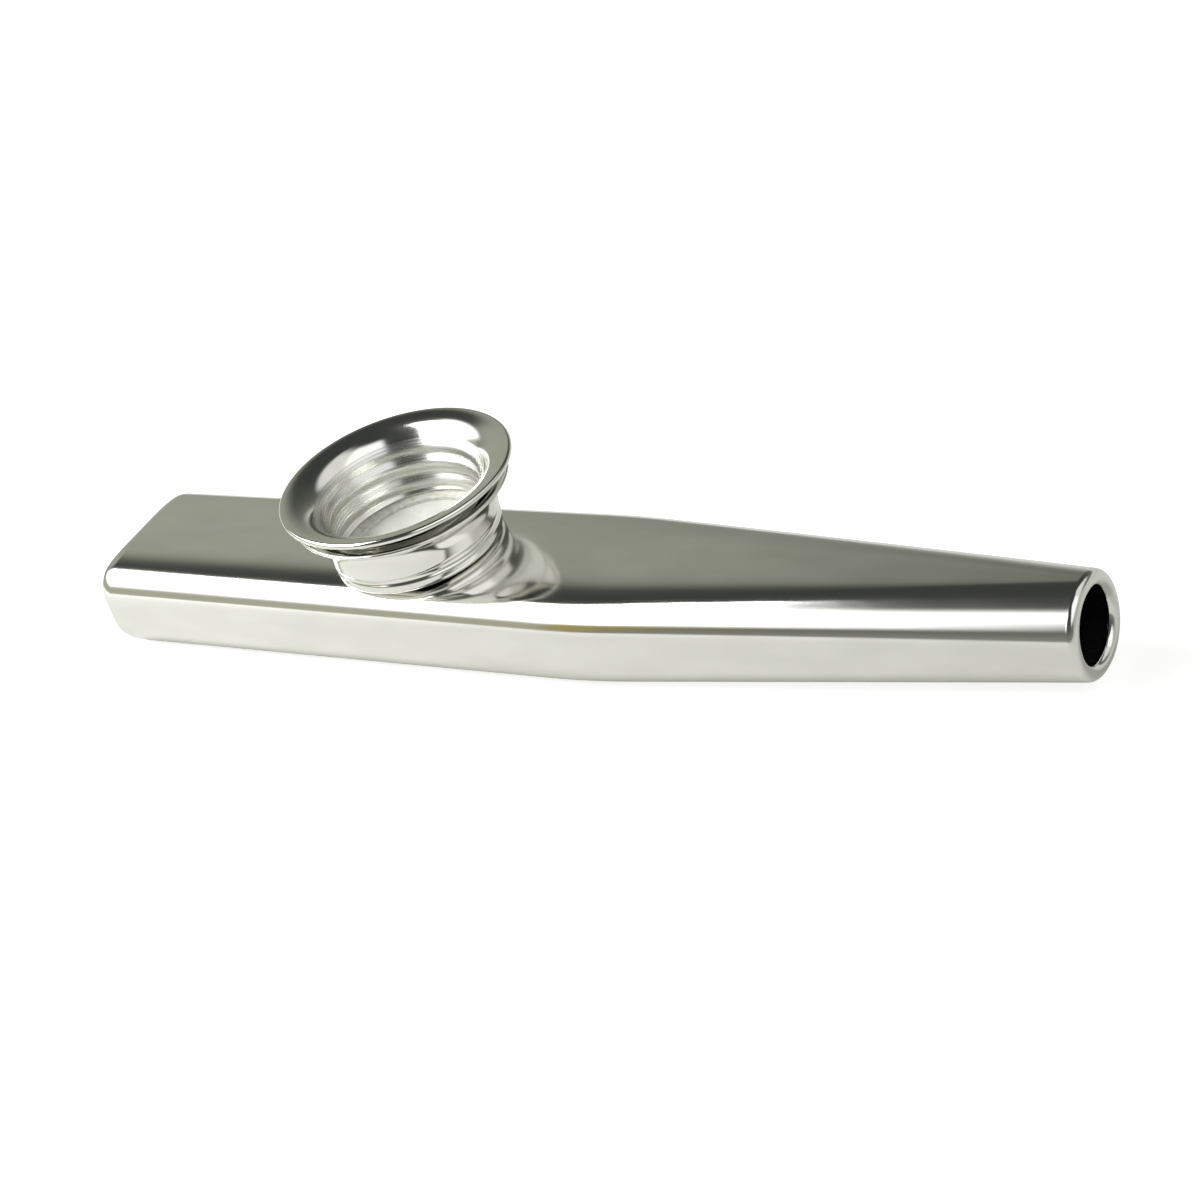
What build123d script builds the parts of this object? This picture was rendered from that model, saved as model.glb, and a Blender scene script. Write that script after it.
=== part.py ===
"""Metal kazoo: a flattened aluminium tube with a screw-down turret that holds the buzzing film.

X runs along the tube from the wide mouth end to the round nose, Y across it and Z up.
The origin is under the middle of the tube, on the surface that it lies on. Lengths are in millimetres.
"""

import os
from math import cos, radians, sin

from build123d import *

# Tube: a wide flattened run, then a straight taper to a round nose
length = 120.0
straight_length = 63.6
mouth_width = 19.3
shoulder_width = 20.3
body_height = 11.4
top_corner_radius = 3.5
bottom_corner_radius = 4.8
tube_wall = 0.5
mouth_edge_radius = 0.2
nose_diameter = 11.1
nose_axis_height = 6.75
outlet_diameter = 7.6

# Turret: spun sheet cup, soldered over a hole in the top of the tube
turret_from_mouth = 40.45
neck_diameter = 19.2
neck_rise = 3.8
turret_sheet = 0.45
turret_root_bend = 0.5
turret_lip_angle = 76.0
seat_hole_diameter = 14.4
solder_gap = 0.05

# Screw cap: spun sheet bell with a rolled rim
cap_sheet = 0.45
thread_clearance = 0.05
cap_neck_rise = 5.0
bell_bend_angle = 85.0
rim_diameter = 26.4
rim_roll_radius = 0.35

# Share of the way out to the rim that the bell's bend takes, and the lip's bend as a share of the bell's
bell_flare_share = 0.95
lip_bend_share = 0.77

# Film and its two rings
gasket_thickness = 0.3
film_thickness = 0.1
washer_thickness = 0.4
gasket_clearance = 0.4
washer_clearance = 0.15

# How far cuts run past the faces that they open
overrun = 2.0

# Places along and above the tube
mouth_x = -length / 2
nose_end_x = length / 2
shoulder_x = mouth_x + straight_length
nose_radius = nose_diameter / 2
outlet_radius = outlet_diameter / 2
nose_roll = nose_radius - outlet_radius
nose_start_x = nose_end_x - nose_roll
turret_x = mouth_x + turret_from_mouth

# Heights in the turret, from its foot up
turret_foot_z = body_height + solder_gap
seat_z = turret_foot_z + turret_sheet
film_z = seat_z + gasket_thickness
washer_z = film_z + film_thickness
cap_foot_z = washer_z + washer_thickness
neck_top_z = body_height + neck_rise
cap_neck_top_z = body_height + cap_neck_rise

# Radii in the turret, from the outside in
neck_radius = neck_diameter / 2
bore_radius = neck_radius - turret_sheet
cap_neck_radius = bore_radius - thread_clearance
seat_hole_radius = seat_hole_diameter / 2
gasket_radius = bore_radius - gasket_clearance
washer_radius = bore_radius - washer_clearance

# Flare of the cap, and of the turret's lip that nests under it, along the middle of the sheet
cap_wall_r = cap_neck_radius - cap_sheet / 2
rim_centre_r = rim_diameter / 2 - rim_roll_radius
bell_bend = bell_flare_share * (rim_centre_r - cap_wall_r) / (1 - cos(radians(bell_bend_angle)))
turret_lip_bend = lip_bend_share * bell_bend

# Half sections of the turned pieces are drawn in this plane: across is the radius, up is the height
turret_axis = Axis((turret_x, 0, 0), (0, 0, 1))
turret_plane = Plane(origin=(turret_x, 0, 0), x_dir=(1, 0, 0), z_dir=(0, -1, 0))

# The nose is turned about its own level axis
nose_axis = Axis((0, 0, nose_axis_height), (1, 0, 0))
nose_plane = Plane(origin=(0, 0, nose_axis_height), x_dir=(1, 0, 0), z_dir=(0, -1, 0))


def corner(x, y, z, radius, first):
    """Quarter arc at x that starts at the angle first, counted from +Y towards +Z."""
    plane = Plane(origin=(x, y, z), x_dir=(0, 1, 0), z_dir=(1, 0, 0))
    return Edge.make_circle(radius, plane, first, first + 90)


def flat_section(x, width, inset):
    """Corner arcs of the flattened section at x, in order round it, drawn in by inset."""
    top_r = top_corner_radius - inset
    bottom_r = bottom_corner_radius - inset
    top_y = width / 2 - top_corner_radius
    bottom_y = width / 2 - bottom_corner_radius
    top_z = body_height - top_corner_radius
    return [
        corner(x, top_y, top_z, top_r, 0),
        corner(x, -top_y, top_z, top_r, 90),
        corner(x, -bottom_y, bottom_corner_radius, bottom_r, 180),
        corner(x, bottom_y, bottom_corner_radius, bottom_r, 270),
    ]


def nose_section(inset):
    """Quarter arcs of the round section where the nose begins, drawn in by inset."""
    radius = nose_radius - inset
    return [corner(nose_start_x, 0, nose_axis_height, radius, first) for first in (0, 90, 180, 270)]


def outline(arcs):
    """Closed wire through the corner arcs of a section, with a flat between each two that don't meet."""
    edges = []
    for arc, following in zip(arcs, arcs[1:] + arcs[:1]):
        edges.append(arc)
        if arc @ 1 != following @ 0:
            edges.append(Edge.make_line(arc @ 1, following @ 0))
    return Wire(edges)


def stretch(near, far):
    """Solid between two sections: ruled from corner to corner, with flats that may run to a point."""
    faces = [Face(outline(near)), Face(outline(far))]
    for i, arc in enumerate(near):
        following = (i + 1) % len(near)
        faces.append(Face.make_surface_from_curves(arc, far[i]))
        points = [arc @ 1, near[following] @ 0, far[following] @ 0]
        if far[following] @ 0 != far[i] @ 1:
            points.append(far[i] @ 1)
        faces.append(Face(Wire.make_polygon(points)))
    return Solid(Shell(faces))


def tube_form(inset):
    """Solid tube without its hollow: straight run, taper and rolled-in nose, drawn in by inset."""
    mouth = flat_section(mouth_x, mouth_width, inset)
    shoulder = flat_section(shoulder_x, shoulder_width, inset)
    with BuildPart() as form:
        add(stretch(mouth, shoulder))
        add(stretch(shoulder, nose_section(inset)))
        with BuildSketch(nose_plane):
            with BuildLine():
                roll = CenterArc((nose_start_x, outlet_radius), nose_roll - inset, 90, -90)
                Polyline(roll @ 1, (nose_end_x - inset, 0), (nose_start_x, 0), roll @ 0)
            make_face()
        revolve(axis=nose_axis)
    return form.part


tube_outside = tube_form(0)
tube_inside = tube_form(tube_wall)

# Tube: open at the mouth, holed on top for the turret and at the nose for the air
with BuildPart() as body_tube:
    add(tube_outside)
    add(tube_inside, mode=Mode.SUBTRACT)
    with BuildSketch(Plane.YZ.offset(nose_end_x)):
        with Locations((0, nose_axis_height)):
            Circle(outlet_radius)
    extrude(amount=-nose_roll, mode=Mode.SUBTRACT)
    with BuildSketch(Plane.XY.offset(body_height - overrun)):
        with Locations((turret_x, 0)):
            Circle(seat_hole_radius)
    extrude(amount=2 * overrun, mode=Mode.SUBTRACT)
    mouth_face = body_tube.faces().sort_by(Axis.X)[0]
    fillet(mouth_face.edges(), mouth_edge_radius)
body_tube.part.label = "body_tube"

# Turret: seat flange, bend, wall and flared lip, as one sheet of even thickness
with BuildPart() as turret:
    with BuildSketch(turret_plane):
        with BuildLine():
            wall_r = neck_radius - turret_sheet / 2
            flange_z = seat_z - turret_sheet / 2
            root_r = wall_r - turret_root_bend
            Line((seat_hole_radius, flange_z), (root_r, flange_z))
            root = CenterArc((root_r, flange_z + turret_root_bend), turret_root_bend, -90, 90)
            Line(root @ 1, (wall_r, neck_top_z))
            CenterArc((wall_r + turret_lip_bend, neck_top_z), turret_lip_bend, 180, -turret_lip_angle)
        trace(line_width=turret_sheet)
    revolve(axis=turret_axis)
turret.part.label = "turret"

# Screw cap: neck and flaring bell in one sheet, ending in a rolled rim
with BuildPart() as screw_cap:
    with BuildSketch(turret_plane):
        cone_angle = radians(90 - bell_bend_angle)
        roll_drop = rim_roll_radius - cap_sheet / 2
        with BuildLine():
            Line((cap_wall_r, cap_foot_z), (cap_wall_r, cap_neck_top_z))
            bell = CenterArc((cap_wall_r + bell_bend, cap_neck_top_z), bell_bend, 180, -bell_bend_angle)
            slant = (rim_centre_r - sin(cone_angle) * roll_drop - (bell @ 1).X) / cos(cone_angle)
            cone = Line(bell @ 1, bell @ 1 + Vector(cos(cone_angle), sin(cone_angle)) * slant)
        trace(line_width=cap_sheet)
        rim_centre_z = (cone @ 1).Y - cos(cone_angle) * roll_drop
        with Locations((rim_centre_r, rim_centre_z)):
            Circle(rim_roll_radius)
    revolve(axis=turret_axis)
screw_cap.part.label = "screw_cap"

# Gasket: soft ring on the seat flange
with BuildPart() as seat_gasket:
    with BuildSketch(Plane.XY.offset(seat_z)):
        with Locations((turret_x, 0)):
            Circle(gasket_radius)
            Circle(seat_hole_radius, mode=Mode.SUBTRACT)
    extrude(amount=gasket_thickness)
seat_gasket.part.label = "seat_gasket"

# Diaphragm: thin round film on the gasket
with BuildPart() as diaphragm:
    with BuildSketch(Plane.XY.offset(film_z)):
        with Locations((turret_x, 0)):
            Circle(gasket_radius)
    extrude(amount=film_thickness)
diaphragm.part.label = "diaphragm"

# Clamp washer: fibre ring between the film and the foot of the cap
with BuildPart() as clamp_washer:
    with BuildSketch(Plane.XY.offset(washer_z)):
        with Locations((turret_x, 0)):
            Circle(washer_radius)
            Circle(seat_hole_radius, mode=Mode.SUBTRACT)
    extrude(amount=washer_thickness)
clamp_washer.part.label = "clamp_washer"

os.makedirs("parts", exist_ok=True)
export_step(body_tube.part, "parts/body_tube.step")
export_step(turret.part, "parts/turret.step")
export_step(screw_cap.part, "parts/screw_cap.step")
export_step(seat_gasket.part, "parts/seat_gasket.step")
export_step(diaphragm.part, "parts/diaphragm.step")
export_step(clamp_washer.part, "parts/clamp_washer.step")
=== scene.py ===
"""Looks of a polished aluminium kazoo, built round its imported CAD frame.

X runs from the wide mouth end to the round nose, Z is up. Sizes are in millimetres and angles in degrees
until a mesh is made, which is in metres.
"""

import logging
from collections.abc import Iterable
from dataclasses import dataclass, field
from enum import Enum
from typing import Any

import bpy
import numpy as np
from mathutils import Matrix, Vector


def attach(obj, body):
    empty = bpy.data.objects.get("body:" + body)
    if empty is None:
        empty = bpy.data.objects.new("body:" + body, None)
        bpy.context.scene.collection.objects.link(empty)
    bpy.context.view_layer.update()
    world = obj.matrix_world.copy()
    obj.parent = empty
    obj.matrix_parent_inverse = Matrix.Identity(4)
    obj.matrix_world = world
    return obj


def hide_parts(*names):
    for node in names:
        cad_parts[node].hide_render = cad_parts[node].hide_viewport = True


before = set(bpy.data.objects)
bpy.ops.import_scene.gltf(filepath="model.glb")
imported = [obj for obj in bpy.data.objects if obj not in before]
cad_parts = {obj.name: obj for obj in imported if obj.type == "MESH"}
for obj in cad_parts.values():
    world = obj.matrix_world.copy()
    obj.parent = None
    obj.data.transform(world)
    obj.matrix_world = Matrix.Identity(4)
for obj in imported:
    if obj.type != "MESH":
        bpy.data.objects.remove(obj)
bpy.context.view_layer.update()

MM = 0.001
QUARTER = np.pi / 2
ZENITH = 90.0
TURRET_X = -19.55
# Points that agree to WELD become one vertex, and slopes are taken over a STEP to either side
WELD = 1e-5
STEP = 1e-3
# Map Range's sockets in order, and Mix's colour sockets, which share their names with its other kinds
RANGE = ("Value", "From Min", "From Max", "To Min", "To Max")
MIX_A, MIX_B, MIX_RESULT = 6, 7, 2
log = logging.getLogger("kazoo")


class Body(Enum):
    """Rigid bodies of the CAD frame that new pieces ride on."""

    TUBE = "tube"
    CAP = "cap"


class Side(Enum):
    """Which finish a stretch of a sheet piece shows."""

    OUTER = 0
    INNER = 1


def linear(hex_colour: str) -> tuple[float, float, float, float]:
    """Turn an sRGB hex colour into linear RGBA.

    Args:
        hex_colour: Six hex digits after a hash mark.

    Returns:
        Linear red, green and blue, and an alpha of one.
    """
    srgb = np.array([int(hex_colour[i : i + 2], 16) for i in (1, 3, 5)]) / 255
    value = np.where(srgb <= 0.04045, srgb / 12.92, ((srgb + 0.055) / 1.055) ** 2.4)
    return (*value.tolist(), 1.0)


def soft_ramp(distance: np.ndarray, reach: float) -> np.ndarray:
    """Zero before a bend and the distance after it, with a parabola across the bend.

    Within reach of the bend the value is (distance + reach) squared over four times reach, which meets both
    straight stretches with the same value and slope.

    Args:
        distance: Distances past the bend, negative before it.
        reach: Half the length of the soft stretch.

    Returns:
        The ramp at each distance.
    """
    bend = (distance + reach) ** 2 / (4 * reach)
    return np.where(distance <= -reach, 0.0, np.where(distance >= reach, distance, bend))


def smooth_step(value: np.ndarray, low: float, high: float) -> np.ndarray:
    """Rise from 0 at low to 1 at high along 3t squared minus 2t cubed.

    Args:
        value: Places to evaluate.
        low: Place where the rise starts.
        high: Place where the rise ends.

    Returns:
        The share risen at each place.
    """
    t = np.clip((value - low) / (high - low), 0.0, 1.0)
    return t * t * (3 - 2 * t)


def unit(vectors: np.ndarray) -> np.ndarray:
    """Scale vectors along the last axis to length one."""
    return vectors / np.linalg.norm(vectors, axis=-1, keepdims=True)


def joined(*runs: np.ndarray) -> np.ndarray:
    """Join runs end to end, leaving out each first value that repeats the last one before it."""
    return np.concatenate([runs[0], *[run[1:] for run in runs[1:]]])


def line(start: tuple[float, float], end: tuple[float, float], count: int) -> np.ndarray:
    """Rows along a straight stretch of a section: the two places of a point, and its unit tangent.

    Args:
        start: Places of its start.
        end: Places of its end.
        count: Number of rows.

    Returns:
        One row of four numbers for each point.
    """
    share = np.linspace(0, 1, count)[:, None]
    a, b = np.array(start), np.array(end)
    return np.hstack([a + (b - a) * share, np.repeat(unit(b - a)[None], count, 0)])


def arc(centre: tuple[float, float], radius: float, first: float, last: float, count: int) -> np.ndarray:
    """Rows along a round stretch of a section: the two places of a point, and its unit tangent.

    A point is the centre plus the radius along its angle, and its tangent stands square to that, onwards.

    Args:
        centre: Places of the arc's centre.
        radius: Radius of the arc.
        first: Angle of its start, from the first place's axis towards the second's.
        last: Angle of its end.
        count: Number of rows.

    Returns:
        One row of four numbers for each point.
    """
    angle = np.radians(np.linspace(first, last, count))
    turn = np.sign(last - first)
    out, up = np.cos(angle), np.sin(angle)
    return np.stack([centre[0] + radius * out, centre[1] + radius * up, -turn * up, turn * out], 1)


@dataclass
class Patch:
    """Grid of surface points with their true normals, and the finish that it shows."""

    points: np.ndarray
    normals: np.ndarray
    side: Side = Side.OUTER

    def corners(self, first: int) -> np.ndarray:
        """Vertex numbers of the grid's quads, turned so that they face along the normals.

        Args:
            first: Number of the patch's first vertex in the whole piece.

        Returns:
            One row of four vertex numbers for each quad.
        """
        rows, columns = self.points.shape[:2]
        number = first + np.arange(rows * columns).reshape(rows, columns)
        ring = [number[:-1, :-1], number[1:, :-1], number[1:, 1:], number[:-1, 1:]]
        quads = np.stack(ring, -1).reshape(-1, 4)
        along = self.points[1:, :-1] - self.points[:-1, :-1]
        across = self.points[:-1, 1:] - self.points[:-1, :-1]
        facing = np.sum(np.cross(along, across) * self.normals[:-1, :-1])
        return quads if facing > 0 else quads[:, ::-1]


def make_piece(name: str, patches: Iterable[Patch], finishes: list[bpy.types.Material]) -> bpy.types.Object:
    """Weld patches into one closed mesh that shades by their true normals.

    Points that agree to a hundred-thousandth of a millimetre become one vertex. Each face corner keeps the
    normal of its own patch, so that smooth stretches stay smooth and edges stay crisp.

    Args:
        name: Name of the piece.
        patches: Surface patches whose edges meet.
        finishes: Material for each value of Side that the patches use.

    Returns:
        The new object, at the origin.
    """
    patches = list(patches)
    points = np.concatenate([patch.points.reshape(-1, 3) for patch in patches])
    normals = np.concatenate([patch.normals.reshape(-1, 3) for patch in patches])
    starts = np.cumsum([0, *[patch.points[..., 0].size for patch in patches]])
    faces = [patch.corners(int(start)) for patch, start in zip(patches, starts)]
    quads = np.concatenate(faces)
    sides = np.repeat([patch.side.value for patch in patches], [len(part) for part in faces])
    cells = np.round(points / WELD).astype(np.int64)
    _, kept, welded = np.unique(cells, axis=0, return_index=True, return_inverse=True)
    welded = welded.reshape(-1)

    mesh = bpy.data.meshes.new(name)
    mesh.vertices.add(len(kept))
    mesh.vertices.foreach_set("co", (points[kept] * MM).astype(np.float32).ravel())
    mesh.loops.add(quads.size)
    mesh.loops.foreach_set("vertex_index", welded[quads].astype(np.int32).ravel())
    mesh.polygons.add(len(quads))
    mesh.polygons.foreach_set("loop_start", np.arange(0, quads.size, 4, dtype=np.int32))
    mesh.polygons.foreach_set("material_index", sides.astype(np.int32))
    mesh.polygons.foreach_set("use_smooth", np.ones(len(quads), dtype=bool))
    for finish in finishes:
        mesh.materials.append(finish)
    mesh.update(calc_edges=True)
    mesh.normals_split_custom_set(normals[quads].reshape(-1, 3).tolist())
    piece = bpy.data.objects.new(name, mesh)
    bpy.context.scene.collection.objects.link(piece)
    return piece


def add_node(
    tree: bpy.types.NodeTree, kind: str, links: dict[Any, Any] | None = None, **settings: Any
) -> bpy.types.Node:
    """Add a shader node, set its properties and its inputs.

    Args:
        tree: Node tree to add to.
        kind: Blender's name of the node type.
        links: For each input, a socket to link from or a constant to set.
        settings: Properties of the node.

    Returns:
        The new node.
    """
    node = tree.nodes.new(kind)
    for key, value in settings.items():
        setattr(node, key, value)
    for key, value in (links or {}).items():
        if isinstance(value, bpy.types.NodeSocket):
            tree.links.new(value, node.inputs[key])
        else:
            node.inputs[key].default_value = value
    return node


# Noise of one soft octave and a faint finer one
SOFT_NOISE = {"Detail": 1.0, "Roughness": 0.4}
# Stretch of that noise over which a grain's colour and its shine go all the way
COLOUR_SPAN = (0.35, 0.65)
SHINE_SPAN = (0.3, 0.7)
# Share of a full turn that sets the wide spread of a turned surface across its rings
ACROSS_RINGS = 0.25


@dataclass(frozen=True)
class Grain:
    """Fine unevenness of a finish: its size, and how far it sways the colour, the shine and the surface."""

    size_mm: tuple[float, float, float]
    colour: float = 0.0
    shine: float = 0.0
    height_mm: float = 0.0

    def noise(self, tree: bpy.types.NodeTree, place: bpy.types.NodeSocket) -> bpy.types.NodeSocket:
        """Add soft noise whose blotches have the grain's size along X, Y and Z.

        Args:
            tree: The material's node tree.
            place: Object coordinates, in metres.

        Returns:
            The noise, about one half on the average.
        """
        scale = tuple(1 / (size * MM) for size in self.size_mm)
        shrunk = add_node(tree, "ShaderNodeMapping", {"Vector": place, "Scale": scale})
        blotch = {"Vector": shrunk.outputs[0], "Scale": 1.0, **SOFT_NOISE}
        return add_node(tree, "ShaderNodeTexNoise", blotch).outputs["Fac"]


@dataclass(frozen=True)
class Rings(Grain):
    """Grain that runs round the turret's axis, as a tool leaves on a piece that turns."""

    axis_x: float = TURRET_X

    def noise(self, tree: bpy.types.NodeTree, place: bpy.types.NodeSocket) -> bpy.types.NodeSocket:
        """Add noise along the sum of the height and the distance from the axis.

        Args:
            tree: The material's node tree.
            place: Object coordinates, in metres.

        Returns:
            The noise, about one half on the average.
        """
        to_axis = {"Vector": place, "Location": (-self.axis_x * MM, 0, 0)}
        centred = add_node(tree, "ShaderNodeMapping", to_axis).outputs[0]
        level = add_node(tree, "ShaderNodeVectorMath", {0: centred, 1: (1, 1, 0)}, operation="MULTIPLY")
        out = add_node(tree, "ShaderNodeVectorMath", {0: level.outputs[0]}, operation="LENGTH")
        parts = add_node(tree, "ShaderNodeSeparateXYZ", {0: place})
        out_and_up = {0: out.outputs["Value"], 1: parts.outputs["Z"]}
        run = add_node(tree, "ShaderNodeMath", out_and_up, operation="ADD")
        ring = {"W": run.outputs[0], "Scale": 1 / (self.size_mm[0] * MM), **SOFT_NOISE}
        return add_node(tree, "ShaderNodeTexNoise", ring, noise_dimensions="1D").outputs["Fac"]


@dataclass(frozen=True)
class Finish:
    """One surface finish: its two colours, its shine and the grains that its making leaves."""

    name: str
    colour: str
    second: str
    metallic: float
    roughness: float
    grains: tuple[Grain, ...]
    transmission: float = 0.0
    anisotropic: float = 0.0

    def material(self) -> bpy.types.Material:
        """Make the material, with each grain swaying the colour, the roughness and a bump.

        Returns:
            The material.
        """
        made = bpy.data.materials.new(self.name)
        made.use_nodes = True
        tree = made.node_tree
        shader = tree.nodes["Principled BSDF"]
        colours = {MIX_A: linear(self.colour), MIX_B: linear(self.second)}
        shader.inputs["Base Color"].default_value = colours[MIX_A]
        shader.inputs["Metallic"].default_value = self.metallic
        shader.inputs["Roughness"].default_value = self.roughness
        shader.inputs["Transmission Weight"].default_value = self.transmission
        place = add_node(tree, "ShaderNodeTexCoord").outputs["Object"]
        for grain in self.grains:
            noise = grain.noise(tree, place)
            if grain.colour:
                span = dict(zip(RANGE, (noise, *COLOUR_SPAN, 0.0, grain.colour)))
                share = add_node(tree, "ShaderNodeMapRange", span).outputs[0]
                mix = add_node(tree, "ShaderNodeMix", {0: share, **colours}, data_type="RGBA")
                tree.links.new(mix.outputs[MIX_RESULT], shader.inputs["Base Color"])
            if grain.shine:
                shine = (self.roughness - grain.shine, self.roughness + grain.shine)
                span = dict(zip(RANGE, (noise, *SHINE_SPAN, *shine)))
                dull = add_node(tree, "ShaderNodeMapRange", span)
                tree.links.new(dull.outputs[0], shader.inputs["Roughness"])
            if grain.height_mm:
                raised = {"Height": noise, "Strength": 1.0, "Distance": grain.height_mm * MM}
                if shader.inputs["Normal"].is_linked:
                    raised["Normal"] = shader.inputs["Normal"].links[0].from_socket
                bump = add_node(tree, "ShaderNodeBump", raised)
                tree.links.new(bump.outputs["Normal"], shader.inputs["Normal"])
        if self.anisotropic:
            shader.inputs["Anisotropic"].default_value = self.anisotropic
            shader.inputs["Anisotropic Rotation"].default_value = ACROSS_RINGS
            around = add_node(tree, "ShaderNodeTangent", direction_type="RADIAL", axis="Z")
            tree.links.new(around.outputs[0], shader.inputs["Tangent"])
        return made


# Shallow waves about a fingertip wide that a buffing wheel leaves, and the faint haze of handling
BUFFED = Grain((14.0, 14.0, 14.0), height_mm=0.012)
HAZE = Grain((7.0, 2.5, 2.5), colour=0.35, shine=0.012)
# Drawn aluminium, buffed to a mirror: a near-white metal whose reflections wander a little. The scratches
# that the wheel leaves along the tube are hundredths of a millimetre wide, and are drawn coarser to show
POLISHED_ALUMINIUM = Finish(
    "polished_aluminium",
    "#E9E9E5",
    "#DCDCD6",
    metallic=1.0,
    roughness=0.12,
    grains=(BUFFED, HAZE, Grain((5.0, 0.3, 0.3), height_mm=0.0005)),
)
# Spun aluminium, polished while it turns: the same mirror, with faint rings where the cloth went round
SPUN_ALUMINIUM = Finish(
    "polished_spun_aluminium",
    "#E9E9E5",
    "#DCDCD6",
    metallic=1.0,
    roughness=0.12,
    grains=(BUFFED, HAZE, Rings((0.4, 0.4, 0.4), height_mm=0.0006)),
)
# Inside of the cap as the tool left it: fine rings that no wheel reaches, and that fan each light up and down
TURNED_ALUMINIUM = Finish(
    "turned_aluminium",
    "#E6E6E2",
    "#D2D2CC",
    metallic=1.0,
    roughness=0.28,
    grains=(Rings((0.35, 0.35, 0.35), colour=0.7, shine=0.05, height_mm=0.002),),
    anisotropic=0.9,
)
# Inside of the tube, drawn and scored lengthwise by the die, with painted shade: a dark grey for its dim
# inside
SHADED_INSIDE_ALUMINIUM = Finish(
    "drawn_aluminium_painted_shade",
    "#55565A",
    "#3F4043",
    metallic=1.0,
    roughness=0.5,
    grains=(Grain((18.0, 0.5, 0.5), colour=0.9, shine=0.08, height_mm=0.004),),
)
# Moulded rubber: matt, nearly black and finely pebbled
SEAT_RUBBER = Finish(
    "moulded_rubber",
    "#1E1E1F",
    "#2B2B2B",
    metallic=0.0,
    roughness=0.75,
    grains=(Grain((0.35, 0.35, 0.35), colour=0.8, shine=0.06, height_mm=0.01),),
)
# Waxed film: pale and slightly see-through, mottled by the wax, with a soft shine
BUZZING_FILM = Finish(
    "waxed_film",
    "#ECEDE7",
    "#D9DAD1",
    metallic=0.0,
    roughness=0.3,
    grains=(Grain((3.5, 2.5, 3.0), colour=0.6, shine=0.05, height_mm=0.002),),
    transmission=0.15,
)
# Pressed fibre: matt, pale grey and flecked with short fibres
WASHER_FIBRE = Finish(
    "pressed_fibre",
    "#D8D9D2",
    "#BDBCB1",
    metallic=0.0,
    roughness=0.8,
    grains=(Grain((0.9, 0.3, 0.3), colour=0.8, shine=0.05, height_mm=0.003),),
)


@dataclass(frozen=True)
class TubeGrid:
    """How many points each stretch round the tube's section has, and how many rows each stretch along it."""

    corner: int = 23
    top: int = 27
    side: int = 7
    base: int = 17
    edge: int = 8
    mouth_turn: int = 14
    to_collar: int = 28
    collar: int = 53
    collar_rings: int = 14
    to_bend: int = 10
    bend: int = 25
    taper: int = 46
    taper_end: int = 5
    curl: int = 36
    inner_curl: int = 24


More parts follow.
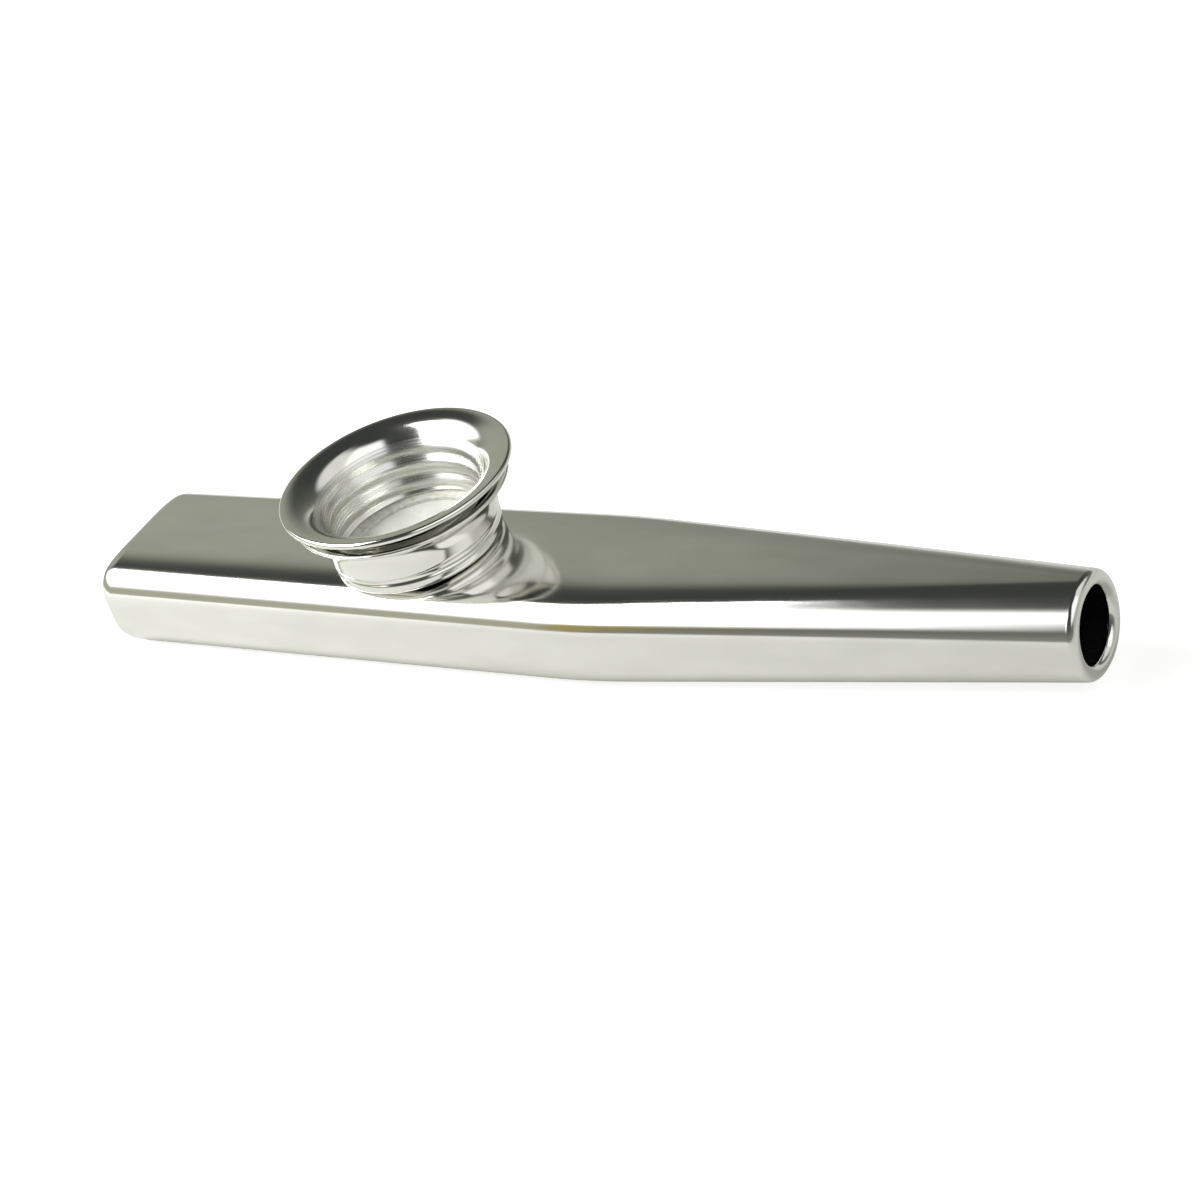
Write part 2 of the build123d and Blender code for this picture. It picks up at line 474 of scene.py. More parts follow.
@dataclass
class Tube:
    """Flattened tube: straight run from the mouth, soft bend, taper and rolled-in nose."""

    length: float = 120.0
    straight: float = 63.6
    mouth_width: float = 19.3
    shoulder_width: float = 20.3
    height: float = 11.4
    top_corner: float = 3.5
    bottom_corner: float = 4.8
    wall: float = 0.5
    crown_tilt: float = 11.0
    crown_power: float = 4.5
    mouth_roll: float = 3.4
    mouth_turn: float = 24.0
    nose_diameter: float = 11.1
    nose_height: float = 6.75
    outlet_diameter: float = 7.6
    nose_turn: float = 75.0
    nose_flat: float = 0.15
    bend_reach: float = 4.5
    nose_reach: float = 0.15
    hole_radius: float = 7.2
    collar_reach: float = 11.0
    grid: TubeGrid = TubeGrid()

    def __post_init__(self) -> None:
        """Work out the places along the tube and the corner circles of its three main sections."""
        self.mouth_x = -self.length / 2
        self.shoulder_x = self.mouth_x + self.straight
        roll = (self.nose_diameter - self.outlet_diameter) / 2
        turned_in = np.sin(np.radians(self.nose_turn))
        self.curl = (roll - self.wall / 2 * (1 - turned_in)) / (1 + turned_in)
        self.nose_x = self.length / 2 - self.curl
        self.mouth_corners = self.flat_corners(self.mouth_width)
        shoulder = self.flat_corners(self.shoulder_width)
        nose_r = self.nose_diameter / 2 - self.nose_flat
        top, bottom = self.nose_height + self.nose_flat, self.nose_height - self.nose_flat
        nose = np.array([self.nose_flat, top, nose_r, self.nose_flat, bottom, nose_r])
        self.run_slope = (shoulder - self.mouth_corners) / self.straight
        self.taper_slope = (nose - shoulder) / (self.nose_x - self.shoulder_x)
        grid = self.grid
        self.around_top = joined(
            np.linspace(-2, -1, grid.corner),
            np.linspace(-1, 1, grid.top),
            np.linspace(1, 2, grid.corner),
        )
        self.around_rest = joined(
            np.linspace(2, 3, grid.side),
            np.linspace(3, 4, grid.corner),
            np.linspace(4, 6, grid.base),
            np.linspace(6, 7, grid.corner),
            np.linspace(7, 8, grid.side),
        )
        self.around = joined(self.around_top, self.around_rest)
        self.collar_x = TURRET_X + np.linspace(-self.collar_reach, self.collar_reach, grid.collar)

    def flat_corners(self, width: float) -> np.ndarray:
        """Corner circles of a flattened section: across, height and radius of a top and a bottom one."""
        top = [width / 2 - self.top_corner, self.height - self.top_corner, self.top_corner]
        return np.array([*top, width / 2 - self.bottom_corner, self.bottom_corner, self.bottom_corner])

    def corner_circles(self, x: np.ndarray) -> np.ndarray:
        """Corner circles at each x.

        Every number of a section changes in a straight line from the mouth to the shoulder and from there to
        the nose, with a soft bend at the shoulder and where the nose begins to roll in. Flats between the
        corners then stay flat, and each corner is part of a cone.

        Args:
            x: Places along the tube.

        Returns:
            The six numbers of flat_corners along a new first axis.
        """
        x = np.asarray(x)[None]
        shape = (-1,) + (1,) * (x.ndim - 1)
        numbers = (self.mouth_corners, self.run_slope, self.taper_slope)
        mouth, run, taper = (number.reshape(shape) for number in numbers)
        bend = soft_ramp(x - self.shoulder_x, self.bend_reach)
        end = soft_ramp(x - self.nose_x, self.nose_reach)
        return mouth + run * (x - self.mouth_x) + (taper - run) * bend - taper * end

    def surface(self, x: np.ndarray, inset: np.ndarray, around: np.ndarray) -> np.ndarray:
        """Point of the tube at x, drawn in by inset, at a place around the section.

        The place around runs from -2 to 8: top corner on the near side to -1, top flat to 1, far top corner
        to 2, far side to 3, far bottom corner to 4, bottom flat to 6, near bottom corner to 7, and near side
        to 8. On a corner the point is its circle's centre plus the radius, less inset, along the turning
        direction. The top flat falls from its middle with a power of the way across, and meets the corner's
        slope.

        Args:
            x: Places along the tube.
            inset: How far inside the outer surface.
            around: Places around the section.

        Returns:
            Points along a new last axis.
        """
        x, inset, around = np.broadcast_arrays(x, inset, around)
        top_y, top_z, top_r, low_y, low_z, low_r = self.corner_circles(x)
        tilt = self.top_tilt(top_y)
        crest = top_z + top_r - inset
        top_r, low_r = top_r - inset, low_r - inset
        top_end = top_y + top_r * np.sin(tilt)
        crown = np.tan(tilt) * top_end / self.crown_power
        top_z = crest - crown - top_r * np.cos(tilt)
        place = np.mod(around + 2, 10) - 2
        side = np.where((place < -1) | (place >= 6), -1.0, 1.0)
        over = tilt + np.where(place < 0, -1 - place, place - 1) * (QUARTER - tilt)
        under = np.where(place < 5, place - 3, 7 - place) * QUARTER
        down = np.where(place < 5, place - 2, 8 - place)
        top_side, low_side = top_y + top_r, low_y + low_r
        corner_top = (side * (top_y + top_r * np.sin(over)), top_z + top_r * np.cos(over))
        corner_low = (side * (low_y + low_r * np.cos(under)), low_z - low_r * np.sin(under))
        wall = (side * (top_side + (low_side - top_side) * down), top_z + (low_z - top_z) * down)
        flat_top = (place * top_end, crest - crown * np.abs(np.clip(place, -1, 1)) ** self.crown_power)
        flat_low = ((5 - place) * low_y, low_z - low_r)
        tests = [np.abs(place) <= 1, place <= 2, place <= 3, place <= 4, place <= 6, place <= 7]
        choices = [flat_top, corner_top, wall, corner_low, flat_low, corner_low]
        y = np.select(tests, [choice[0] for choice in choices], wall[0])
        z = np.select(tests, [choice[1] for choice in choices], wall[1])
        return np.stack([x, y, z], -1)

    def top_tilt(self, top_y: np.ndarray) -> np.ndarray:
        """Slope of the top where its crowned flat meets the corner, which dies away as the flat narrows."""
        return np.radians(self.crown_tilt) * top_y / self.mouth_corners[0]

    def patch(
        self,
        x: np.ndarray,
        inset: np.ndarray,
        along: np.ndarray,
        inward: np.ndarray,
        around: np.ndarray,
        side: Side,
    ) -> Patch:
        """Patch of the surface with normals from its two tangents.

        The tangent along a row of travel is the change with x times along plus the change with inset times
        inward. Its cross product with the tangent around the section is the normal.

        Args:
            x: Places along the tube.
            inset: How far inside the outer surface.
            along: Share of the travel that goes along x.
            inward: Share of the travel that goes inwards.
            around: Places around the section.
            side: Finish that the patch shows.

        Returns:
            The patch.
        """
        by_x = self.surface(x + STEP, inset, around) - self.surface(x - STEP, inset, around)
        by_inset = self.surface(x, inset + STEP, around) - self.surface(x, inset - STEP, around)
        by_around = self.surface(x, inset, around + STEP) - self.surface(x, inset, around - STEP)
        travel = by_x * np.asarray(along)[..., None] + by_inset * np.asarray(inward)[..., None]
        return Patch(self.surface(x, inset, around), unit(np.cross(travel, by_around)), side)

    def strip(self, rows: np.ndarray, around: np.ndarray, side: Side) -> Patch:
        """Patch over rows of x, inset, along and inward, and over places around the section."""
        x, inset, along, inward = (column[:, None] for column in rows.T)
        return self.patch(x, inset, along, inward, around[None, :], side)

    def level_rows(self, xs: np.ndarray, inset: float, along: float) -> np.ndarray:
        """Rows that run straight along the tube at one inset."""
        ones = np.ones_like(xs)
        return np.stack([xs, inset * ones, along * ones, 0 * ones], 1)

    def mouth_rows(self) -> tuple[np.ndarray, np.ndarray]:
        """Rows between the mouth's end and the collar.

        The sheet's middle turns in by mouth_turn on an arc of mouth_roll less half the wall, and ends in a
        half round of half the wall, whose foremost point lies at the mouth's end.

        Returns:
            Outer rows, from the end on, and inner rows, back to the end.
        """
        half, end, middle = self.wall / 2, -90 - self.mouth_turn, self.mouth_roll - self.wall / 2
        out_x, out_q = np.cos(np.radians(end)), np.sin(np.radians(end))
        roll_x = self.mouth_x - middle * out_x + half
        roll = (roll_x, self.mouth_roll)
        lip = (roll_x + middle * out_x, self.mouth_roll + middle * out_q)
        straight = np.linspace(roll_x, self.collar_x[0], self.grid.to_collar)
        outer = joined(
            arc(lip, half, end - 90, end, self.grid.edge),
            arc(roll, self.mouth_roll, end, -90, self.grid.mouth_turn),
            self.level_rows(straight, 0, 1),
        )
        inner = joined(
            self.level_rows(straight[::-1], self.wall, -1),
            arc(roll, self.mouth_roll - self.wall, -90, end, self.grid.mouth_turn),
            arc(lip, half, end - 180, end - 90, self.grid.edge),
        )
        return outer, inner

    def nose_rows(self) -> tuple[np.ndarray, np.ndarray]:
        """Rows between the collar and the nose's edge.

        The sheet runs through the bend and the taper, then curls in by a quarter turn and nose_turn, and ends
        in a half round of half the wall, whose innermost point is the rim of the outlet.

        Returns:
            Outer rows, from the collar on, and inner rows, back to the collar.
        """
        half, middle, tip = self.wall / 2, self.curl - self.wall / 2, np.radians(self.nose_turn)
        curl = (self.nose_x, self.curl)
        hem = (self.nose_x + middle * np.cos(tip), self.curl + middle * np.sin(tip))
        bend = (self.shoulder_x - self.bend_reach, self.shoulder_x + self.bend_reach)
        taper_end = self.nose_x - self.nose_reach
        straight = joined(
            np.linspace(self.collar_x[-1], bend[0], self.grid.to_bend),
            np.linspace(*bend, self.grid.bend),
            np.linspace(bend[1], taper_end, self.grid.taper),
            np.linspace(taper_end, self.nose_x, self.grid.taper_end),
        )
        outer = joined(
            self.level_rows(straight, 0, 1),
            arc(curl, self.curl, -90, self.nose_turn, self.grid.curl),
            arc(hem, half, self.nose_turn, self.nose_turn + 90, self.grid.edge),
        )
        inner = joined(
            arc(hem, half, self.nose_turn + 90, self.nose_turn + 180, self.grid.edge),
            arc(curl, self.curl - self.wall, self.nose_turn, -90, self.grid.inner_curl),
            self.level_rows(straight[::-1], self.wall, -1),
        )
        return outer, inner

    def hole_place(self, x: np.ndarray, y: np.ndarray, inset: float) -> np.ndarray:
        """Place around the section where the top sheet stands above a point of the plan.

        On the flat it is y over the flat's half width, and on a corner it goes by the arcsine of the way
        across the corner.

        Args:
            x: Places along the tube.
            y: Places across it.
            inset: How far inside the outer surface.

        Returns:
            The place around.
        """
        top_y, _, top_r = self.corner_circles(x)[:3]
        tilt, top_r = self.top_tilt(top_y), top_r - inset
        top_end = top_y + top_r * np.sin(tilt)
        over = np.arcsin(np.clip((np.abs(y) - top_y) / top_r, 0, 1))
        corner = np.sign(y) * (1 + (over - tilt) / (QUARTER - tilt))
        return np.where(np.abs(y) <= top_end, y / top_end, corner)

    def collar_patch(self, inset: float, side: Side) -> Patch:
        """Part of the top sheet round the turret's hole, in rings from the hole to a straight-sided border.

        A point of a ring lies on the straight line, in x and the place around, from a point of the border to
        the point of the hole that stands in the same direction on the unrolled sheet.

        Args:
            inset: How far inside the outer surface.
            side: Finish that the patch shows.

        Returns:
            The patch, one row for each ring.
        """
        top, xs = self.around_top, self.collar_x
        border_x = joined(np.full_like(top, xs[-1]), xs[::-1], np.full_like(top, xs[0]), xs)
        border_p = joined(top, np.full_like(xs, 2.0), top[::-1], np.full_like(xs, -2.0))
        top_y, _, top_r = self.corner_circles(border_x)[:3]
        flat = np.clip(border_p, -1, 1) * top_y
        unrolled = flat + (border_p - np.clip(border_p, -1, 1)) * QUARTER * top_r
        bearing = np.arctan2(unrolled, border_x - TURRET_X)
        hole_x = TURRET_X + self.hole_radius * np.cos(bearing)
        hole_p = self.hole_place(hole_x, self.hole_radius * np.sin(bearing), inset)
        share = np.linspace(0, 1, self.grid.collar_rings + 1)[:, None]
        x = hole_x + (border_x - hole_x) * share
        place = hole_p + (border_p - hole_p) * share
        facing = 1.0 if side is Side.OUTER else -1.0
        return self.patch(x, np.full_like(x, inset), np.full_like(x, facing), np.zeros_like(x), place, side)

    def hole_wall(self, upper: np.ndarray, lower: np.ndarray) -> Patch:
        """Cut edge of the sheet round the hole, straight down from its upper rim to its lower one.

        Args:
            upper: Points of the hole's rim on the outside of the sheet.
            lower: Points of the rim on the inside.

        Returns:
            The patch, which faces the hole's axis.
        """
        centre = np.array([TURRET_X, 0, 0])
        radial = unit((centre - upper) * np.array([1, 1, 0]))
        return Patch(np.stack([upper, lower]), np.stack([radial, radial]))

    def build(self, finishes: list[bpy.types.Material]) -> bpy.types.Object:
        """Build the tube as one closed shell with its turret hole.

        Args:
            finishes: Polished metal, and dark drawn metal that paints shade inside the tube.

        Returns:
            The tube.
        """
        mouth_outer, mouth_inner = self.mouth_rows()
        nose_outer, nose_inner = self.nose_rows()
        outer_collar = self.collar_patch(0.0, Side.OUTER)
        inner_collar = self.collar_patch(self.wall, Side.INNER)
        patches = [
            self.strip(mouth_outer, self.around, Side.OUTER),
            self.strip(self.level_rows(self.collar_x, 0, 1), self.around_rest, Side.OUTER),
            self.strip(nose_outer, self.around, Side.OUTER),
            self.strip(nose_inner, self.around, Side.INNER),
            self.strip(self.level_rows(self.collar_x[::-1], self.wall, -1), self.around_rest, Side.INNER),
            self.strip(mouth_inner, self.around, Side.INNER),
            outer_collar,
            inner_collar,
            self.hole_wall(outer_collar.points[0], inner_collar.points[0]),
        ]
        return make_piece("tube", patches, finishes)


@dataclass
class Thread:
    """Rolled right-hand thread: the sheet's radius swings by depth either way once a pitch.

    A crest crosses the angle zero at the height of start.
    """

    pitch: float = 2.4
    depth: float = 0.2
    start: float = 12.135

    def swing(self, z: np.ndarray, turn: np.ndarray) -> np.ndarray:
        """Cosine of the height over the pitch less the angle: 1 on a crest, -1 in a groove."""
        return np.cos(2 * np.pi * (z - self.start) / self.pitch - turn)


@dataclass
class SpunSheet:
    """Turned piece of even sheet about the turret's axis, with a thread rolled into its wall."""

    axis_x: float = TURRET_X
    sheet: float = 0.45
    thread: Thread = field(default_factory=Thread)
    turns: int = 256

    def offset(self, z: np.ndarray, turn: np.ndarray) -> np.ndarray:
        """How far the rolled thread moves the sheet outwards at a height and angle."""
        raise NotImplementedError

    def spin(self, section: np.ndarray, side: Side = Side.OUTER) -> Patch:
        """Turn a section about the axis.

        The point at an angle is the section's radius plus the thread's offset, out from the axis, at the
        section's height. Its normal is the cross product of the tangent along the section and the one round
        the axis, each with the offset's own change.

        Args:
            section: Rows of radius, height and unit tangent, in order along the sheet's skin.
            side: Finish that the patch shows.

        Returns:
            The turned patch.
        """
        turn = np.linspace(0, 2 * np.pi, self.turns + 1)[None, :]
        radius, z, out, up = (column[:, None] for column in section.T)
        moved = radius + self.offset(z, turn)
        by_height = (self.offset(z + STEP, turn) - self.offset(z - STEP, turn)) / (2 * STEP)
        by_turn = (self.offset(z, turn + STEP) - self.offset(z, turn - STEP)) / (2 * STEP)
        cos, sin, zero = np.cos(turn), np.sin(turn), np.zeros_like(moved)
        cos[:, -1], sin[:, -1] = 1.0, 0.0
        points = np.stack([self.axis_x + moved * cos, moved * sin, z + zero], -1)
        points[:, -1] = points[:, 0]
        lean = out + by_height * up
        along = np.stack([lean * cos, lean * sin, up + zero], -1)
        round_axis = np.stack([by_turn * cos - moved * sin, by_turn * sin + moved * cos, zero], -1)
        return Patch(points, unit(np.cross(round_axis, along)), side)


@dataclass
class Turret(SpunSheet):
    """Cup soldered over the hole in the tube: seat flange, threaded wall and flared lip."""

    wall_radius: float = 9.375
    flange_radius: float = 7.2
    flange_z: float = 11.675
    root_bend: float = 0.5
    neck_top: float = 15.2
    lip_bend: float = 3.1853
    lip_angle: float = 76.0
    thread_low: tuple[float, float] = (12.5, 13.0)
    thread_high: tuple[float, float] = (13.4, 14.2)
    flange_rows: int = 5
    flange_edge_rows: int = 9
    root_rows: tuple[int, int] = (9, 7)
    wall_rows: int = 96
    lip_rows: int = 28
    lip_edge_rows: int = 11

    def offset(self, z: np.ndarray, turn: np.ndarray) -> np.ndarray:
        """Plain at the root, threaded above it, then a smooth band at the height of a crest up to the lip.

        Args:
            z: Heights.
            turn: Angles round the axis, in radians.

        Returns:
            How far the sheet moves outwards.
        """
        swing = self.thread.swing(z, turn)
        band = smooth_step(z, *self.thread_high)
        return self.thread.depth * smooth_step(z, *self.thread_low) * (swing + band * (1 - swing))

    def build(self, finishes: list[bpy.types.Material]) -> bpy.types.Object:
        """Build the cup: up the outside, round the lip's edge, down the inside and round the flange's edge.

        Args:
            finishes: Polished metal alone.

        Returns:
            The cup.
        """
        half, flange_z, top = self.sheet / 2, self.flange_z, self.neck_top
        outer_r, inner_r = self.wall_radius + half, self.wall_radius - half
        root = (self.wall_radius - self.root_bend, flange_z + self.root_bend)
        edge = (self.flange_radius + half, flange_z)
        lip = (self.wall_radius + self.lip_bend, top)
        lip_turn = 180 - self.lip_angle
        tip = np.radians(lip_turn)
        tip_at = (lip[0] + self.lip_bend * np.cos(tip), lip[1] + self.lip_bend * np.sin(tip))
        section = joined(
            line((edge[0], flange_z - half), (root[0], flange_z - half), self.flange_rows),
            arc(root, self.root_bend + half, -90, 0, self.root_rows[0]),
            line((outer_r, root[1]), (outer_r, top), self.wall_rows),
            arc(lip, self.lip_bend - half, 180, lip_turn, self.lip_rows),
            arc(tip_at, half, lip_turn - 180, lip_turn, self.lip_edge_rows),
            arc(lip, self.lip_bend + half, lip_turn, 180, self.lip_rows),
            line((inner_r, top), (inner_r, root[1]), self.wall_rows),
            arc(root, self.root_bend - half, 0, -90, self.root_rows[1]),
            line((root[0], flange_z + half), (edge[0], flange_z + half), self.flange_rows),
            arc(edge, half, 90, 270, self.flange_edge_rows),
        )
        return make_piece("turret_collar", [self.spin(section)], finishes)


@dataclass
class ScrewCap(SpunSheet):
    """Bell that screws into the turret: threaded neck, flare and rolled rim."""

    wall_radius: float = 8.875
    foot_z: float = 12.7
    neck_top: float = 16.4
    bell_bend: float = 4.1368
    bell_angle: float = 85.0
    rim_diameter: float = 26.4
    rim_roll: float = 0.35
    turned_angle: float = 40.0
    thread_low: tuple[float, float] = (12.9, 13.5)
    thread_high: tuple[float, float] = (17.4, 18.8)
    foot_rows: int = 9
    neck_rows: int = 80
    bell_rows: int = 64
    turned_rows: int = 31
    flare_rows: int = 34
    cone_rows: int = 12
    rim_rows: int = 40

    def offset(self, z: np.ndarray, turn: np.ndarray) -> np.ndarray:
        """Drawn in to a groove at the foot, threaded above it, and plain at the top of the flare."""
        risen = smooth_step(z, *self.thread_low) * (1 + self.thread.swing(z, turn))
        return self.thread.depth * (risen - 1) * (1 - smooth_step(z, *self.thread_high))

    def build(self, finishes: list[bpy.types.Material]) -> bpy.types.Object:
        """Build the cap: from under the rim down the outside, round the foot, up the inside, round the rim.

        The flare is an arc that ends in a short cone, and the rim a round bead under the cone's upper skin.

        Args:
            finishes: Polished metal, and turned metal for the inside of the neck and the flare's foot.

        Returns:
            The cap.
        """
        half = self.sheet / 2
        outer_r, inner_r, foot_z = self.wall_radius + half, self.wall_radius - half, self.foot_z + half
        bell = (self.wall_radius + self.bell_bend, self.neck_top)
        bell_turn, turned = 180 - self.bell_angle, 180 - self.turned_angle
        slope = np.radians(90 - self.bell_angle)
        out, up = np.cos(slope), np.sin(slope)
        bell_end = np.array([bell[0] - self.bell_bend * up, bell[1] + self.bell_bend * out])
        drop = self.rim_roll - half
        rim_r = self.rim_diameter / 2 - self.rim_roll
        slant = (rim_r - up * drop - bell_end[0]) / out
        cone_end = bell_end + slant * np.array([out, up])
        rim = (rim_r, cone_end[1] - out * drop)
        upper = np.array([-up, out]) * half
        under = drop - half
        reach = np.sqrt(self.rim_roll**2 - under**2)
        meet = np.mod(np.degrees(np.arctan2(under, -reach)), 360) + np.degrees(slope) - 360
        tuck = np.array(rim) + np.array([-out * reach - up * under, -up * reach + out * under])
        outside = joined(
            line(tuple(tuck), tuple(bell_end - upper), self.cone_rows),
            arc(bell, self.bell_bend - half, bell_turn, 180, self.bell_rows),
            line((outer_r, self.neck_top), (outer_r, foot_z), self.neck_rows),
            arc((self.wall_radius, foot_z), half, 0, -180, self.foot_rows),
        )
        inside = joined(
            line((inner_r, foot_z), (inner_r, self.neck_top), self.neck_rows),
            arc(bell, self.bell_bend + half, 180, turned, self.turned_rows),
        )
        flare = joined(
            arc(bell, self.bell_bend + half, turned, bell_turn, self.flare_rows),
            line(tuple(bell_end + upper), tuple(cone_end + upper), self.cone_rows),
            arc(rim, self.rim_roll, 90 + np.degrees(slope), meet, self.rim_rows),
        )
        patches = [self.spin(outside), self.spin(inside, Side.INNER), self.spin(flare)]
        return make_piece("cap_bell", patches, finishes)


@dataclass(frozen=True)
class Panel:
    """Soft-edged stretch of the room that gives light of its own: a window, or a pale wall."""

    bearing: float
    half_width: float
    low: float
    high: float
    colour: str
    strength: float = 1.0
    soft_side: float = 4.0
    soft_low: float = 4.0
    soft_high: float = 2.0

    def add(
        self,
        tree: bpy.types.NodeTree,
        height: bpy.types.NodeSocket,
        bearing: bpy.types.NodeSocket,
        room: bpy.types.NodeSocket,
    ) -> bpy.types.NodeSocket:
        """Lay the panel over the room.

        Args:
            tree: The world's node tree.
            height: Angle above the horizon.
            bearing: Angle round from +Y towards +X.
            room: Light of the room so far.

        Returns:
            Light of the room with the panel.
        """
        from_middle = {0: bearing, 1: np.radians(self.bearing)}
        away = add_node(tree, "ShaderNodeMath", from_middle, operation="SUBTRACT")
        turn = add_node(tree, "ShaderNodeMath", {0: away.outputs[0], 1: np.pi, 2: -np.pi}, operation="WRAP")
        aside = add_node(tree, "ShaderNodeMath", {0: turn.outputs[0]}, operation="ABSOLUTE")
        edges = [
            (aside.outputs[0], self.half_width, self.soft_side, (1.0, 0.0)),
            (height, self.low, self.soft_low, (0.0, 1.0)),
            (height, self.high, self.soft_high, (1.0, 0.0)),
        ]
        share = None
        for source, edge, soft, ends in edges:
            span = dict(zip(RANGE, (source, *np.radians([edge - soft, edge + soft]), *ends)))
            step = add_node(tree, "ShaderNodeMapRange", span, interpolation_type="SMOOTHSTEP").outputs[0]
            if share is not None:
                step = add_node(tree, "ShaderNodeMath", {0: share, 1: step}, operation="MULTIPLY").outputs[0]
            share = step
        light = tuple(self.strength * value for value in linear(self.colour)[:3])
        laid = {0: share, MIX_A: room, MIX_B: (*light, 1.0)}
        return add_node(tree, "ShaderNodeMix", laid, data_type="RGBA").outputs[MIX_RESULT]


@dataclass
class Studio:
    """White sweep, room light and camera that show the kazoo as it lies on a table."""

    target: tuple[float, float, float] = (0.0, 0.0, 8.0)
    azimuth: float = 39.823
    elevation: float = 31.294
    roll: float = 19.497
    distance: float = 353.462
    lens: float = 99.4
    sensor: float = 36.0
    shift: tuple[float, float] = (0.0176, -0.0168)
    nearest: float = 10.0
    farthest: float = 20000.0
    floor_reach: float = 3000.0
    floor_gap: float = 0.02
    floor_colour: str = "#B4B4B2"
    # Light that the floor adds to its own: to the camera, which makes it white, and in metal and film
    seen_colour: str = "#FFFFFF"
    seen_strength: float = 0.8
    mirrored_colour: str = "#FCFDF2"
    mirrored_strength: float = 0.22
    lamp_size: float = 250.0
    lamp_place: tuple[float, float, float] = (-220.0, -120.0, 250.0)
    lamp_power: float = 1.8
    room: tuple[tuple[float, str], ...] = (
        (0, "#8C8D86"),
        (12, "#74756F"),
        (25, "#565853"),
        (45, "#3E403E"),
        (90, "#3A3C3A"),
    )
    panels: tuple[Panel, ...] = (
        # Pale wall behind the kazoo, which its flat top mirrors
        Panel(-56, 24, -20, 35, "#A6A89C", soft_side=14, soft_high=5),
        # Light wall at the right, which the ring round the outlet mirrors
        Panel(82, 30, -20, 25, "#B9BAB4", soft_side=10, soft_high=8),
        # White cloth low behind the kazoo, which the near side of the cup's flare mirrors
        Panel(20, 42, -20, 9, "#D8D9D2", soft_side=10, soft_high=5),
        # Pale low wall at the left front, under the window
        Panel(-118, 32, -20, 20, "#B3B4A2", soft_side=3, soft_high=6),
        # Broad window at the left front, which gives the long white streak
        Panel(-121, 39, 20, 55, "#FFFFFF", 1.9, soft_side=5, soft_low=5, soft_high=7),
        # Second window at the right front, and the light curtain beside it
        Panel(52, 30, 26, 72, "#EBEBE7", soft_side=6, soft_low=8, soft_high=6),
        Panel(106, 34, 26, 73, "#FFFFFF", 1.25, soft_side=6, soft_low=8, soft_high=5),
        # Small warm thing low at the left front, seen only as a brown tinge where the tube bends
        Panel(-151.2, 4.4, 4, 21, "#A89A5E", soft_side=1, soft_low=3),
    )

    def camera(self) -> None:
        """Stand the camera at the photograph's place, turned about its own axis as the photograph is."""
        azimuth, elevation, roll = np.radians([self.azimuth, self.elevation, self.roll])
        level = np.cos(elevation)
        back = np.array([np.sin(azimuth) * level, -np.cos(azimuth) * level, np.sin(elevation)])
        right = np.array([np.cos(azimuth), np.sin(azimuth), 0])
        up = np.cross(back, right)
        across = np.cos(roll) * right - np.sin(roll) * up
        upright = np.cos(roll) * up + np.sin(roll) * right
        data = bpy.data.cameras.new("camera")
        data.lens = self.lens
        data.sensor_width = self.sensor
        data.shift_x, data.shift_y = self.shift
        data.clip_start, data.clip_end = self.nearest * MM, self.farthest * MM
        camera = bpy.data.objects.new("camera", data)
        bpy.context.scene.collection.objects.link(camera)
        turned = Matrix((across, upright, back)).transposed().to_4x4()
        place = Vector((np.array(self.target) + back * self.distance) * MM)
        camera.matrix_world = Matrix.Translation(place) @ turned
        bpy.context.scene.camera = camera

    def floor(self) -> None:
        """Lay a pale floor that shows as white and keeps a faint shadow."""
        reach, z = self.floor_reach * MM, -self.floor_gap * MM
        mesh = bpy.data.meshes.new("floor")
        corners = [(-reach, -reach, z), (reach, -reach, z), (reach, reach, z), (-reach, reach, z)]
        mesh.from_pydata(corners, [], [(0, 1, 2, 3)])
        floor = bpy.data.objects.new("floor", mesh)
        bpy.context.scene.collection.objects.link(floor)
        sweep = bpy.data.materials.new("white_sweep")
        sweep.use_nodes = True
        tree = sweep.node_tree
        tree.nodes.clear()
        path = add_node(tree, "ShaderNodeLightPath").outputs
        shadow = add_node(tree, "ShaderNodeBsdfDiffuse", {"Color": linear(self.floor_colour)})
        unlit, mirrored, seen = (
            add_node(tree, "ShaderNodeEmission", {"Color": linear(colour), "Strength": strength}).outputs[0]
            for colour, strength in (
                (self.seen_colour, 0.0),
                (self.mirrored_colour, self.mirrored_strength),
                (self.seen_colour, self.seen_strength),
            )
        )
        through = {0: path["Is Glossy Ray"], 1: path["Is Transmission Ray"]}
        second = add_node(tree, "ShaderNodeMath", through, operation="MAXIMUM")
        in_metal = add_node(tree, "ShaderNodeMixShader", {0: second.outputs[0], 1: unlit, 2: mirrored})
        to_camera = {0: path["Is Camera Ray"], 1: in_metal.outputs[0], 2: seen}
        white = add_node(tree, "ShaderNodeMixShader", to_camera)
        both = add_node(tree, "ShaderNodeAddShader", {0: shadow.outputs[0], 1: white.outputs[0]})
        add_node(tree, "ShaderNodeOutputMaterial", {"Surface": both.outputs[0]})
        mesh.materials.append(sweep)

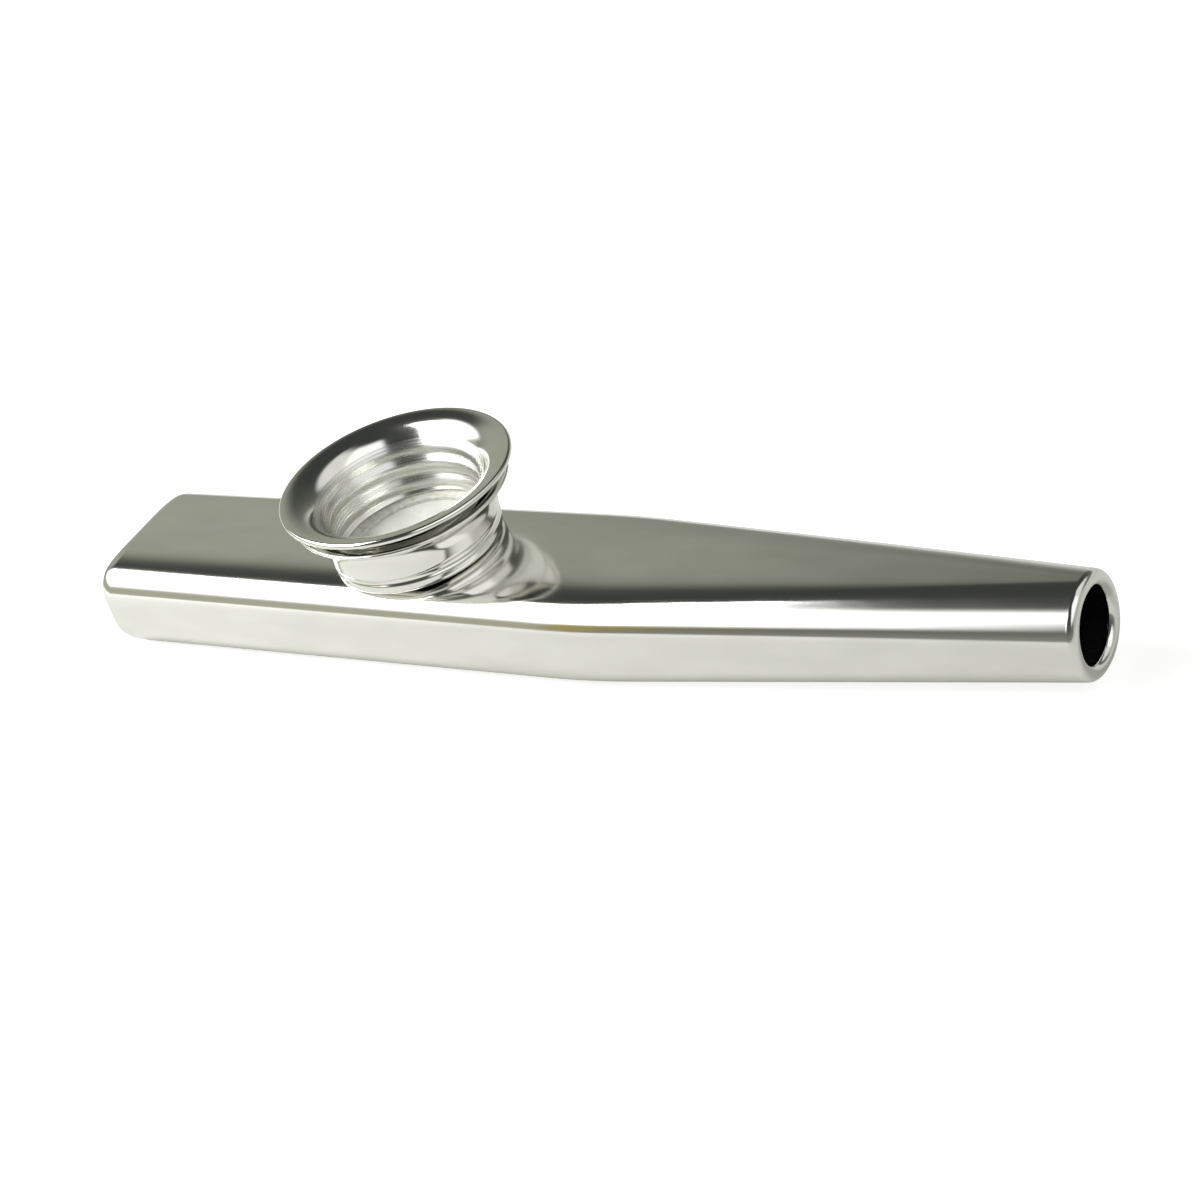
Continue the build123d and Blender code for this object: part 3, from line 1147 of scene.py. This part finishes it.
    def world(self) -> None:
        """Light the room with its panels over a dark ceiling, and show plain white to the camera.

        Height in the room is the arcsine of the direction's Z, and bearing the angle of its X and Y. The
        share of a panel is the product of a soft step on its bearing and one on each of its two heights.
        """
        world = bpy.data.worlds.new("room")
        bpy.context.scene.world = world
        world.use_nodes = True
        tree = world.node_tree
        tree.nodes.clear()
        way = add_node(tree, "ShaderNodeTexCoord")
        parts = add_node(tree, "ShaderNodeSeparateXYZ", {0: way.outputs["Generated"]}).outputs
        height = add_node(tree, "ShaderNodeMath", {0: parts["Z"]}, operation="ARCSINE").outputs[0]
        plan = {0: parts["X"], 1: parts["Y"]}
        bearing = add_node(tree, "ShaderNodeMath", plan, operation="ARCTAN2").outputs[0]
        up = add_node(tree, "ShaderNodeMapRange", dict(zip(RANGE, (height, 0.0, QUARTER))))
        room = add_node(tree, "ShaderNodeValToRGB", {0: up.outputs[0]})
        stops = room.color_ramp.elements
        while len(stops) < len(self.room):
            stops.new(0.5)
        for stop, (place, colour) in zip(stops, self.room):
            stop.position, stop.color = place / ZENITH, linear(colour)
        lit = room.outputs[0]
        for panel in self.panels:
            lit = panel.add(tree, height, bearing, lit)
        path = add_node(tree, "ShaderNodeLightPath")
        to_camera = {0: path.outputs["Is Camera Ray"], MIX_A: lit, MIX_B: linear(self.seen_colour)}
        seen = add_node(tree, "ShaderNodeMix", to_camera, data_type="RGBA").outputs[MIX_RESULT]
        shine = add_node(tree, "ShaderNodeBackground", {"Color": seen, "Strength": 1.0})
        add_node(tree, "ShaderNodeOutputWorld", {"Surface": shine.outputs[0]})

    def lamp(self) -> None:
        """Hang a soft lamp in front of the broad window, over the mouth end."""
        data = bpy.data.lights.new("overhead_lamp", "AREA")
        data.size = self.lamp_size * MM
        data.energy = self.lamp_power
        lamp = bpy.data.objects.new("overhead_lamp", data)
        lamp.location = Vector(self.lamp_place) * MM
        bpy.context.scene.collection.objects.link(lamp)

    def build(self) -> None:
        """Set up the whole studio."""
        self.camera()
        self.floor()
        self.world()
        self.lamp()
        bpy.context.scene.view_settings.view_transform = "Standard"


@dataclass
class Kazoo:
    """The whole instrument: new skins for the metal pieces, and finishes for the film and its rings."""

    tube: Tube = field(default_factory=Tube)
    turret: Turret = field(default_factory=Turret)
    cap: ScrewCap = field(default_factory=ScrewCap)

    def build(self) -> list[bpy.types.Object]:
        """Build and dress every piece and tie it to the frame.

        Returns:
            The three new metal pieces, then the three rings and discs of the frame.
        """
        # The inside of the tube takes a dark grey that is painted shade, not the metal's own colour
        polished, shaded_inside = POLISHED_ALUMINIUM.material(), SHADED_INSIDE_ALUMINIUM.material()
        spun, turned = SPUN_ALUMINIUM.material(), TURNED_ALUMINIUM.material()
        pieces = []
        skins = [
            (self.tube.build([polished, shaded_inside]), Body.TUBE, "body_tube", "tube_metal"),
            (self.turret.build([spun]), Body.TUBE, "turret", "turret_metal"),
            (self.cap.build([spun, turned]), Body.CAP, "screw_cap", "cap_metal"),
        ]
        for piece, body, node, slot in skins:
            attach(piece, body.value)
            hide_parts(node)
            pieces.append(piece)
        plain = [
            ("seat_gasket", SEAT_RUBBER, "gasket_rubber"),
            ("diaphragm", BUZZING_FILM, "film"),
            ("clamp_washer", WASHER_FIBRE, "washer_fibre"),
        ]
        for node, finish, slot in plain:
            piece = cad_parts[node]
            piece.data.materials.clear()
            piece.data.materials.append(finish.material())
            pieces.append(piece)
        return pieces


def main() -> None:
    """Build the kazoo and its studio, and report each piece."""
    logging.basicConfig(level=logging.INFO, format="%(name)s: %(message)s")
    for piece in Kazoo().build():
        mesh = piece.data
        finishes = ", ".join(material.name for material in mesh.materials)
        counts = (len(mesh.vertices), len(mesh.polygons))
        log.info("%s: %d vertices, %d faces, %s", piece.name, *counts, finishes)
    Studio().build()


if __name__ == "__main__":
    main()
